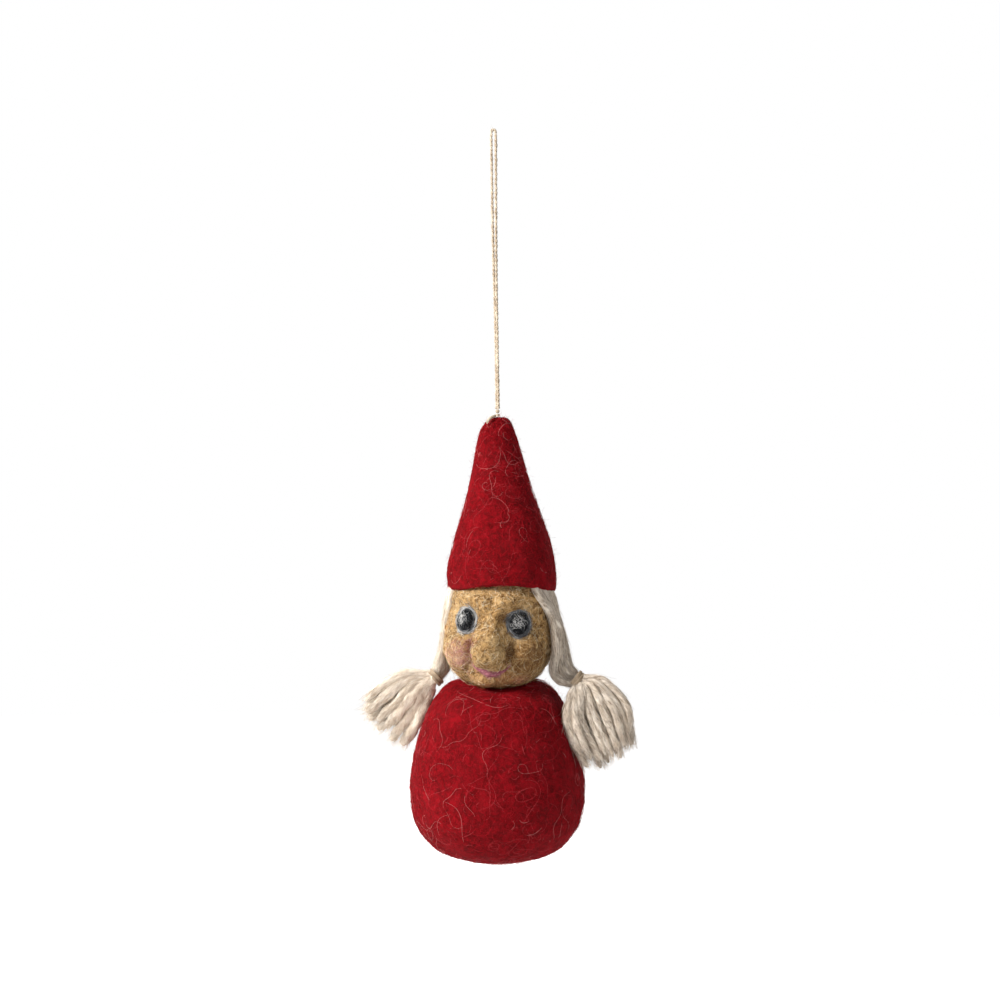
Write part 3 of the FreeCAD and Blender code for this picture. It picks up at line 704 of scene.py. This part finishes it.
def ellipse_grid(rows, columns):
    """Directions of a closed round form: a grid between two poles, and the poles."""
    down = np.linspace(0, math.pi, rows + 2)[1:-1]
    around = np.linspace(0, 2 * math.pi, columns, endpoint=False)
    down, around = np.meshgrid(down, around, indexing="ij")
    ring = np.stack([np.sin(down) * np.cos(around), np.sin(down) * np.sin(around),
                     np.cos(down)], -1).reshape(-1, 3)
    count = rows * columns
    faces = grid_faces(rows, columns)[:, ::-1].tolist()
    for column in range(columns):
        beside = (column + 1) % columns
        faces.append([count, column, beside])
        faces.append([count + 1, count - columns + beside, count - columns + column])
    return np.vstack([ring, [[0, 0, 1.0], [0, 0, -1.0]]]), faces


def nose():
    """A round bulb drawn up into a narrow bridge that ends at the brow."""
    ways, faces = ellipse_grid(96, 128)
    up = np.clip(ways[:, 2], 0, 1)
    size = np.array([4.65, 5.2, 4.8])
    local = ways * size
    local[:, 0] *= 1 - 0.68 * up ** 1.1
    local[:, 1] = local[:, 1] * (1 - 0.40 * up ** 1.3) + 1.5 * up ** 2
    local[:, 2] += 5.0 * up ** 3
    local[:, 0] += 0.9 * up ** 2 - 0.3 * np.clip(-ways[:, 2], 0, 1)
    aside = turn("Z", -2.6)
    points = ((local + [0.3, -14.3, 10.9]) @ aside.T) @ HEAD_TURN.T + HEAD_FOOT
    normals = unit(ways / size) @ (HEAD_TURN @ aside).T
    points += normals * lumps(points, FACE_LAYERS)[:, None]
    made = piece("nose_felt", place(points), faces, [NOSE_SKIN], "figure")
    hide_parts("nose")
    return made


nose_piece = nose()


def lip_line(share):
    """Angle and height of the middle of the mouth, for shares from -1 to 1 along it."""
    return 1.0 + 20.5 * share, 6.5 - 1.9 * (1 - share ** 2)


def mouth():
    """A crescent of pink wool laid under the nose."""
    steps, across = 90, 15
    share = np.linspace(-1, 1, steps)[:, None] * np.ones((1, across))
    side = np.ones((steps, 1)) * np.linspace(-1, 1, across)[None]
    half = 0.20 + 0.62 * (1 - np.abs(share) ** 2.0)
    around, height = lip_line(share)
    point, normal = on_head(around.ravel(), (height + half * side).ravel())
    lift = (0.60 + 0.25 * (1 - np.abs(share))) * (1 - side ** 2) - 0.05
    point = point + normal * (lift.ravel() + lumps(point, [(1.0, 0.12), (0.45, 0.07)]))[:, None]
    border = ([r * across for r in range(steps)]
              + [(steps - 1) * across + c for c in range(1, across)]
              + [r * across + across - 1 for r in range(steps - 2, -1, -1)]
              + list(range(across - 2, 0, -1)))
    faces = grid_faces(steps, across, closed=False).tolist()
    points, faces = backed(point, normal, faces, border[::-1])
    made = piece("mouth_felt", place(points), faces, [MOUTH_PINK], "figure")
    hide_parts("mouth")
    return made


mouth_piece = mouth()


OUTSIDE = 40   # far enough from the head's middle to be outside all of its wool


class Coat:
    """The outermost surface of several pieces around the head, seen from outside."""

    def __init__(self, pieces):
        points, faces = [], []
        for made in pieces:
            spots = np.zeros(len(made.data.vertices) * 3)
            made.data.vertices.foreach_get("co", spots)
            start = len(points)
            points += ((spots.reshape(-1, 3) - FOOT) / MM).tolist()
            faces += [[corner + start for corner in face.vertices] for face in made.data.polygons]
        self.tree = BVHTree.FromPolygons(points, faces)

    def outside(self, point):
        """Where the line from outside to the head's middle through a point meets the wool."""
        way = unit(np.asarray(point, float) - HEAD_MIDDLE)
        start = Vector(HEAD_MIDDLE + way * OUTSIDE)
        hit, normal, _, _ = self.tree.ray_cast(start, Vector(-way))
        return (np.array(hit), np.array(normal)) if hit else (np.asarray(point, float), way)

    def lay(self, starts, headings, steps, length, lift, curl):
        """Paths of fibres that lie on the wool, each from a start and along a heading."""
        paths = []
        for start, heading in zip(starts, headings):
            here, normal = self.outside(start)
            way, bend = np.asarray(heading, float), rng.normal(0, curl)
            stride = length * rng.uniform(0.5, 1.4) / steps
            top, path = lift * rng.uniform(0.2, 1.6), []
            for share in np.linspace(0, math.pi, steps):
                path.append(here + normal * (0.03 + top * math.sin(share)))
                way = unit(way - normal * way.dot(normal) + bend * stride * np.cross(normal, way))
                here, normal = self.outside(here + way * stride)
            paths.append(path)
        return np.array(paths)


def scattered(number, spots, reach):
    """Points near spots of the head, given as angles and heights, and random headings."""
    choice = rng.integers(0, len(spots), number)
    centre = np.array([in_figure(spot, 1.0) for spot in spots])[choice]
    return centre + rng.normal(0, reach, (number, 3)), rng.normal(0, 1, (number, 3))


def all_over(number):
    """Points all around the head below the hat's rim, and random headings."""
    ways = unit(rng.normal(0, 1, (number * 3, 3)))
    ways = ways[(ways[:, 2] < 0.80) & (ways[:, 2] > -0.86)][:number]
    return HEAD_MIDDLE + ways * 15, rng.normal(0, 1, (len(ways), 3))


def on_rings(side, number, low, high):
    """Points on an eye between two shares of its radius, with headings around it."""
    angle = rng.uniform(0, 2 * math.pi, number)
    share = rng.uniform(low, high, number)
    around = EYES[side][0] + np.degrees(EYE_WIDE * share * np.cos(angle) / HEAD_GIRTH)
    point, _ = on_head(around, EYES[side][1] + EYE_HIGH * share * np.sin(angle))
    heading = np.stack([-np.sin(angle), 0.2 * np.cos(angle), np.cos(angle)], 1)
    return point, heading


skin_pieces = [head_piece, nose_piece, chin] + cheeks
coat = Coat(skin_pieces)
face_coat = Coat(skin_pieces + eyes + [mouth_piece])


# spots of the face whose fibres take darker shades as painted shade, in the creases, the eye
# hollows, under the jaw and on the right side away from the key light, and how far each reaches
PAINTED_SHADE_SPOTS = (((48, 9.0), 8.5), ((13, 20.0), 3.0), ((26, 23.2), 3.2), ((21, 11.5), 3.0),
         ((-13, 19.6), 2.0), ((-21, 12.5), 1.8), ((44, 3.0), 8.0), ((10, 1.4), 6.0),
         ((-26, 23.4), 2.2), ((60, 18.0), 5.5), ((-12, 1.2), 5.0), ((-48, 3.0), 4.0))


def in_painted_shade(paths):
    """Which fibres take the darker shades as painted shade: likelier the nearer they lie to a
    shaded spot.
    """
    chance = np.zeros(len(paths))
    for spot, reach in PAINTED_SHADE_SPOTS:
        away = np.linalg.norm(paths[:, 2] - in_figure(spot, 0.6), axis=1)
        chance = np.maximum(chance, 0.95 * np.exp(-(away / reach) ** 2))
    return rng.random(len(paths)) < chance


def clear_of_eyes(paths):
    """Only the paths that stay off the eyes."""
    for side in EYES:
        middle, _ = on_head(*EYES[side])
        nearest = np.linalg.norm(paths - middle[0], axis=2).min(axis=1)
        paths = paths[nearest > 3.5]
    return paths


for name, number, steps, length, lift, curl, radii in (
        ("face_mat", 6400, 5, 2.1, 0.12, 0.30, (0.022, 0.042)),
        ("face_curls", 700, 10, 4.2, 0.40, 0.40, (0.022, 0.038))):
    paths = clear_of_eyes(coat.lay(*all_over(number), steps, length, lift, curl))
    # painted shade: the fibres near those spots form the darker _shaded set
    dark = in_painted_shade(paths)
    for part, chosen, weights in (("", ~dark, (0.32, 0.34, 0.24, 0.10)),
                                  ("_shaded", dark, (0.34, 0.06, 0.0, 0.60))):
        fibres(name + part, paths[chosen], radii, TAN_FIBRES, weights)
fibres("face_fuzz", fuzz(head, 2400, 5, 1.0, (12, 118)), (0.012, 0.020), TAN_FIBRES,
       (0.3, 0.4, 0.25, 0.05))
blush = clear_of_eyes(coat.lay(*scattered(170, [(-25, 12.0), (-27, 9.5), (-28, 7.0), (-36, 10.5),
                                                (-40, 8.0), (-52, 8.0)], 1.5), 6, 2.4, 0.14, 0.3))
fibres("blush_mat", blush, (0.020, 0.036), ROSE_FIBRES, (0.4, 0.5, 0.1))
for side, whites in (("left", 0.46), ("right", 0.14)):
    ring = face_coat.lay(*on_rings(side, 420, 0.84, 1.06), 7, 2.2, 0.08, 0.12)
    fibres(side + "_ring_mat", ring, (0.018, 0.034), GREY_FIBRES,
           (0.75 - whites, whites, 0.25))
    black = face_coat.lay(on_rings(side, 900, 0.0, 0.80)[0], rng.normal(0, 1, (900, 3)),
                          5, 1.0, 0.07, 0.6)
    fibres(side + "_pupil_mat", black, (0.018, 0.034), BLACK_FIBRES, (0.55, 0.30, 0.15))
    white = face_coat.lay(*scattered(62, [GLINTS[side]], 0.48), 9, 2.0, 0.14, 1.7)
    fibres(side + "_glint_mat", white, (0.022, 0.038), WHITE_FIBRES, (0.7, 0.3))
LIP_FIBRES = 420
share = rng.uniform(-1, 1, LIP_FIBRES)
around, height = lip_line(share)
lips, _ = on_head(around, height + rng.normal(0, 0.36, LIP_FIBRES) * (1.1 - share ** 2))
slope = 0.45 * share + rng.normal(0, 0.35, LIP_FIBRES)
way = np.stack([np.ones(LIP_FIBRES), np.zeros(LIP_FIBRES), slope], 1)
way *= rng.choice((-1, 1), LIP_FIBRES)[:, None]
fibres("mouth_mat", face_coat.lay(lips, way, 6, 2.0, 0.12, 0.4), (0.024, 0.042), ROSE_FIBRES,
       (0.5, 0.25, 0.25))

# ---------------------------------------------------------------- yarn pigtails
# The right pigtail's yarn and fibres are darker copies of the left's cream wool: painted shade on
# the side away from the key light.
YARN = {"left": yarn("yarn_left", (0.52, 0.41, 0.30), (0.86, 0.75, 0.62),
                     (0.94, 0.87, 0.77)),
        "right": yarn("yarn_right_shaded", (0.22, 0.16, 0.115), (0.62, 0.53, 0.43),
                      (0.84, 0.765, 0.67))}
HAIR_FIBRES = {"left": CREAM_FIBRES, "right": SHADED_CREAM_FIBRES}


def strand_mesh(paths, radii, sides=16, flat=(1.0, 1.0), tip=0.0):
    """Soft round strands with lobes that wind along them, with texture coordinates."""
    points, faces, uvs, start = [], [], [], 0
    for number, (path, radius) in enumerate(zip(paths, radii)):
        steps = len(path)
        _, across, other = directions(path)
        share = np.linspace(0, 1, steps)[:, None]
        angle = np.linspace(0, 2 * math.pi, sides, endpoint=False)[None]
        walked = np.concatenate([[0], np.cumsum(np.linalg.norm(np.diff(path, axis=0), axis=1))])
        wind = angle + 0.32 * walked[:, None] + number
        lobes = 1 + 0.10 * np.cos(3 * wind) + 0.06 * np.cos(5 * wind + 1.3 * number)
        swell = 1 + 0.10 * np.sin(walked[:, None] * 0.9 + 2.1 * number)
        thick = radius * lobes * swell * (1 - tip * share ** 12)
        wide, deep = (factor * np.clip(share * 6, 0, 1) + np.clip(1 - share * 6, 0, 1)
                      for factor in flat)
        ring = (path[:, None]
                + (thick * wide * np.cos(angle))[..., None] * across[:, None]
                + (thick * deep * np.sin(angle))[..., None] * other[:, None])
        points.append(ring.reshape(-1, 3))
        uvs.append(np.stack([(wind / (2 * math.pi) + number * 3.7).ravel(),
                             np.repeat(walked, sides)], 1))
        faces += (grid_faces(steps, sides) + start).tolist()
        faces.append([start + int(v) for v in range(sides)][::-1])
        faces.append([start + (steps - 1) * sides + int(v) for v in range(sides)])
        start += steps * sides
    return np.vstack(points), faces, np.vstack(uvs)


def wisps(paths, radii, each, over, wander, steps=12):
    """Fine fibres that run along the strands, stray a little and pass their ends."""
    made = []
    for path, radius in zip(paths, radii):
        tangent, across, other = directions(path)
        last = len(path) - 1
        grow = np.linspace(0, 1, steps)
        for _ in range(each):
            first = rng.uniform(0.0, 0.85)
            end = min(first + rng.uniform(0.12, 0.45), 1.0)
            beyond = rng.uniform(0.1, 1.0) * over if end > 0.98 else 0.0
            where = np.linspace(first, end, steps) * last
            along = np.stack([np.interp(where, np.arange(last + 1), path[:, i])
                              for i in range(3)], 1)
            angle = rng.uniform(0, 2 * math.pi) + rng.normal(0, 1.2) * grow
            away = radius * (1.0 + 0.10 * rng.uniform(0, 1)
                             + abs(rng.normal(0, wander)) * grow ** 2)
            index = where.astype(int)
            line = along + away[:, None] * (np.cos(angle)[:, None] * across[index]
                                            + np.sin(angle)[:, None] * other[index])
            line += (grow ** 3)[:, None] * beyond * unit(tangent[last] + rng.normal(0, 0.3, 3))
            made.append(line)
    return np.array(made)


def between(first, second, share):
    return np.asarray(first, float) * (1 - share) + np.asarray(second, float) * share


TASSEL_WISPS = 2600
# The two ends of a bundle's rows of strands: a lock's front and back edges from the hat down,
# a tassel's outer and inner edges from the tie down, and the tie's own two ends.
HAIR = {
    "right": {
        "lock": [((9.2, -11.6, 76.0), (12.4, -5.6, 76.2)),
                 ((11.6, -11.6, 71.6), (14.7, -4.8, 71.5)),
                 ((13.9, -10.2, 67.4), (15.9, -4.4, 67.0)),
                 ((15.3, -8.8, 63.4), (16.9, -4.4, 62.6)),
                 ((15.6, -8.0, 57.6), (18.0, -4.8, 57.6)),
                 ((14.9, -7.8, 52.2), (19.2, -5.6, 53.2)),
                 ((17.6, -7.4, 49.2), (21.0, -6.0, 51.0))],
        "knot": ((20.7, -6.5, 50.2), (22.0, -6.5, 49.0)),
        "outer": [(23.8, -6.8, 50.3), (28.6, -7.4, 49.0), (34.2, -8.0, 43.2),
                  (37.3, -8.4, 33.4)],
        "inner": [(21.0, -7.2, 47.9), (19.6, -8.6, 44.6), (19.0, -9.2, 37.0), (23.9, -9.0, 26.6)],
        "strands": (9, 8), "bow": 1.6, "locks": (8, 6), "flat": (1.0, 1.0),
    },
    "left": {
        "lock": [((-8.6, 3.4, 76.0), (-11.4, -5.2, 76.0)),
                 ((-10.8, 4.6, 70.5), (-13.0, -6.0, 70.5)),
                 ((-12.6, 6.0, 64.0), (-14.1, -4.8, 64.0)),
                 ((-13.4, 6.0, 58.0), (-14.8, -1.2, 58.0)),
                 ((-13.6, 4.4, 52.8), (-16.2, 1.6, 53.6)),
                 ((-15.6, 2.6, 49.9), (-17.2, 1.6, 50.8))],
        "knot": ((-16.5, 2.0, 50.0), (-17.7, 1.8, 48.9)),
        "outer": [(-19.3, 1.7, 50.4), (-25.4, 1.4, 50.6), (-32.2, 1.2, 47.2), (-38.0, 1.0, 42.6)],
        "inner": [(-18.4, 1.8, 47.0), (-18.8, 2.2, 44.6), (-21.4, 2.4, 38.2), (-26.2, 2.2, 30.4)],
        "strands": (6, 5), "bow": 1.0, "locks": (8, 4), "flat": (1.5, 0.85),
    },
}


def tufts(side, name, paths, radii, each, over, stray, body=None):
    """Fine fibres around a bundle of strands, in the shades of that side's yarn."""
    return fibres(side + name, wisps(paths, radii, each, over, stray), (0.018, 0.036),
                  HAIR_FIBRES[side], (0.42, 0.34, 0.24), body)


for side, hair in HAIR.items():
    lock_paths = []
    for layer, count in enumerate(hair["locks"]):
        for number in range(count):
            share = (number + 0.5 * layer) / (count - 1 + 0.5 * layer)
            corners = [between(a, b, share) for a, b in hair["lock"]]
            for corner in corners[1:-1]:
                corner[1] += (-0.4, 1.5)[layer]
                corner += rng.normal(0, 0.22, 3)
            corners += [between(*hair["knot"], 0.4) + rng.normal(0, 0.4, 3)]
            lock_paths.append(smooth_outline(corners, 80))
    lock_radii = rng.uniform(0.78, 1.08, len(lock_paths))
    points, faces, uvs = strand_mesh(lock_paths, lock_radii)
    lock = piece(side + "_lock_yarn", place(points), faces, [YARN[side]], "figure",
                 uvs=uvs)
    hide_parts("hair_lock_" + side)
    tufts(side, "_lock_wisps", lock_paths, lock_radii, 200, 0.0, 0.46, "figure")

    tassel_paths, tassel_radii = [], []
    for layer, count in enumerate(hair["strands"]):
        for number in range(count):
            share = (number + 0.5 * layer) / (count - 1 + 0.5 * layer)
            corners = [between(*hair["knot"], 0.25) + rng.normal(0, 0.3, 3)]
            for index, (a, b) in enumerate(zip(hair["outer"], hair["inner"])):
                corner = between(a, b, share)
                spread = (0.35, 0.8, 1.0, 0.9)[index]
                corner[1] += (-1.4, 1.4)[layer] * spread
                corner += rng.normal(0, 0.34 * spread, 3)
                corners.append(corner)
            bow = 4 * share * (1 - share) * hair["bow"]
            corners[-1] = (corners[-1] + unit(corners[-1] - corners[0])
                           * (bow + rng.uniform(-2.6, 0.8)))
            tassel_paths.append(smooth_outline(corners, 90))
            tassel_radii.append(rng.uniform(0.85, 1.25))
    points, faces, uvs = strand_mesh(tassel_paths, tassel_radii, flat=hair["flat"], tip=0.72)
    tassel = piece(side + "_tassel_yarn", place(points), faces, [YARN[side]], uvs=uvs)
    loose = tufts(side, "_tassel_wisps", tassel_paths, tassel_radii,
                  TASSEL_WISPS // len(tassel_paths), 2.2, 0.62)
    ends = [path[len(path) * 4 // 5:] for path in tassel_paths]
    frayed = tufts(side, "_tassel_ends", ends, tassel_radii, 90, 1.8, 0.10)
    for made in (tassel, loose, frayed):
        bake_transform(made)
    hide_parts(side + "_tassel")

TIE = yarn("tie_thread", (0.20, 0.14, 0.09), (0.42, 0.32, 0.22), (0.56, 0.45, 0.33))
for side, hair in HAIR.items():
    start, end = (np.array(p) for p in hair["knot"])
    axis = unit(end - start)
    across = unit(np.cross(axis, [0, 1.0, 0]))
    other = np.cross(axis, across)
    angle = np.linspace(0, 2 * math.pi * 4.3, 220)
    wraps = np.linspace(-0.75, 0.75, 220)
    girth = 2.25 + 0.12 * np.sin(angle * 0.37)
    line = (between(start, end, 0.35) + axis * wraps[:, None]
            + girth[:, None] * (np.cos(angle)[:, None] * across + np.sin(angle)[:, None] * other))
    points, faces, uvs = strand_mesh([line], [0.24], sides=8)
    tie = piece(side + "_tie_thread", place(points), faces, [TIE], "figure",
                uvs=uvs)
    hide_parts(side + "_tie")

# ---------------------------------------------------------------- twine loop
LOOP_FOOT = float(PIVOT[2]) / MM + 0.7   # where the twine ends, over its joint with the hat
TWIST_PITCH = 2.6
PLY_RADIUS, PLY_REACH = 0.255, 0.145     # of one ply, and from the twine's middle to its own
route = [(0.90, 0.20, LOOP_FOOT), (0.62, 0.34, -52.0), (-0.08, 0.20, -34.0), (-0.55, 0, -4.2),
         (-0.66, 0, 0.35), (0.66, 0, 0.35), (0.66, 0, -4.2), (0.74, -0.20, -34.0),
         (0.98, -0.34, -52.0), (1.40, -0.20, LOOP_FOOT)]


def route_points(corners):
    """Points along the smooth line whose control points are the route's corners."""
    curve = bpy.data.curves.new("twine_route", "CURVE")
    curve.dimensions = "3D"
    curve.resolution_u = 160
    line = curve.splines.new("NURBS")
    line.points.add(len(corners) - 1)
    for point, corner in zip(line.points, corners):
        point.co = (corner[0] * MM, corner[1] * MM, corner[2] * MM, 1)
    line.order_u = 3
    line.use_endpoint_u = True
    holder = bpy.data.objects.new("twine_route", curve)
    mesh = bpy.data.meshes.new_from_object(holder)
    points = np.array([v.co for v in mesh.vertices])
    bpy.data.objects.remove(holder)
    bpy.data.curves.remove(curve)
    bpy.data.meshes.remove(mesh)
    return points


TWINE = yarn("twine", (0.25, 0.18, 0.12), (0.58, 0.47, 0.35), (0.76, 0.67, 0.54), 0.15)
spine = route_points(route)
walked = np.concatenate([[0], np.cumsum(np.linalg.norm(np.diff(spine, axis=0), axis=1))])
length = float(walked[-1])
steps = 1500
even = np.linspace(0, length, steps)
centre = np.stack([np.interp(even, walked, spine[:, i]) for i in range(3)], 1) / MM
tangent, beside, _ = directions(centre)
level = np.array([0.0, 1.0, 0.0])
wind = even / MM * 2 * math.pi / TWIST_PITCH
plies = []
for start in (0.0, math.pi):
    reach = PLY_REACH + 0.02 * np.sin(even / MM * 0.8 + start)
    plies.append(centre + reach[:, None] * (np.cos(wind + start)[:, None] * beside
                                            + np.sin(wind + start)[:, None] * level))
points, faces, uvs = strand_mesh(plies, [PLY_RADIUS, PLY_RADIUS], sides=10)
cord = piece("twine_loop", points * MM, faces, [TWINE], "cord", uvs=uvs)
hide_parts("hanging_cord")
hairs = []
for _ in range(170):
    spot = rng.integers(10, steps - 10)
    angle = rng.uniform(0, 2 * math.pi)
    out = math.cos(angle) * beside[spot] + math.sin(angle) * level
    way = unit(tangent[spot] * rng.choice((-1, 1)) + 0.7 * out + rng.normal(0, 0.3, 3))
    grow = np.linspace(0, rng.uniform(0.3, 1.1), 6)[:, None]
    hairs.append(centre[spot] + 0.3 * out + grow * way + grow ** 2 * rng.normal(0, 0.2, 3))
hairs = np.array(hairs) - FOOT / MM
fibres("twine_hairs", hairs, (0.010, 0.018), TWINE_FIBRES, (0.6, 0.4), "cord")

# ---------------------------------------------------------------- twine's end pieces
stitch = np.array([(-0.6, -0.6, 120.6), (-1.5, -1.6, 120.2), (-2.4, -2.4, 119.4),
                   (-2.9, -2.9, 118.4)]) + [0.0, -0.2, 0.0]
points, faces, uvs = strand_mesh([smooth_outline(stitch, 40)], [0.34], sides=10, tip=0.5)
piece("tip_stitch", place(points), faces, [TWINE], "figure", uvs=uvs)
for node, finish in (("cord_neck", TWINE), ("cord_stub", TWINE), ("cord_knot", TWINE),
                     ("head_core", SKIN), ("body_core", SKIN), ("hair_crown", YARN["right"])):
    frame["nodes"][node].data.materials.clear()
    frame["nodes"][node].data.materials.append(finish)

# ---------------------------------------------------------------- floor
FLOOR_HEIGHT, FLOOR_RADIUS = -0.30, 1.6   # metres


def floor():
    """A plain pale ground far enough below the figure to catch only its softest shadow."""
    angle = np.linspace(0, 2 * math.pi, 96, endpoint=False)
    rim = np.stack([FLOOR_RADIUS * np.cos(angle), FLOOR_RADIUS * np.sin(angle),
                    np.full(len(angle), FLOOR_HEIGHT)], 1)
    mesh = bpy.data.meshes.new("floor")
    mesh.from_pydata(rim.tolist(), [], [list(range(len(angle)))])
    ground = bpy.data.objects.new("floor", mesh)
    bpy.context.scene.collection.objects.link(ground)
    n = Nodes("floor_paper")
    cloud = n.noise(0.02, 3.0)
    n.finish(n.mix(n.ramp(cloud, 0.3, 0.7), (0.86, 0.86, 0.86), (0.9, 0.9, 0.9)), cloud,
             0.1, 0.1, 0.0, (1, 1, 1))
    n.put(n.shader.inputs["Emission Color"], (1, 1, 1))
    seen = n.tree.nodes.new("ShaderNodeLightPath").outputs["Is Camera Ray"]
    n.put(n.shader.inputs["Emission Strength"], n.math("MULTIPLY", seen, 0.8))
    mesh.materials.append(n.material)


floor()
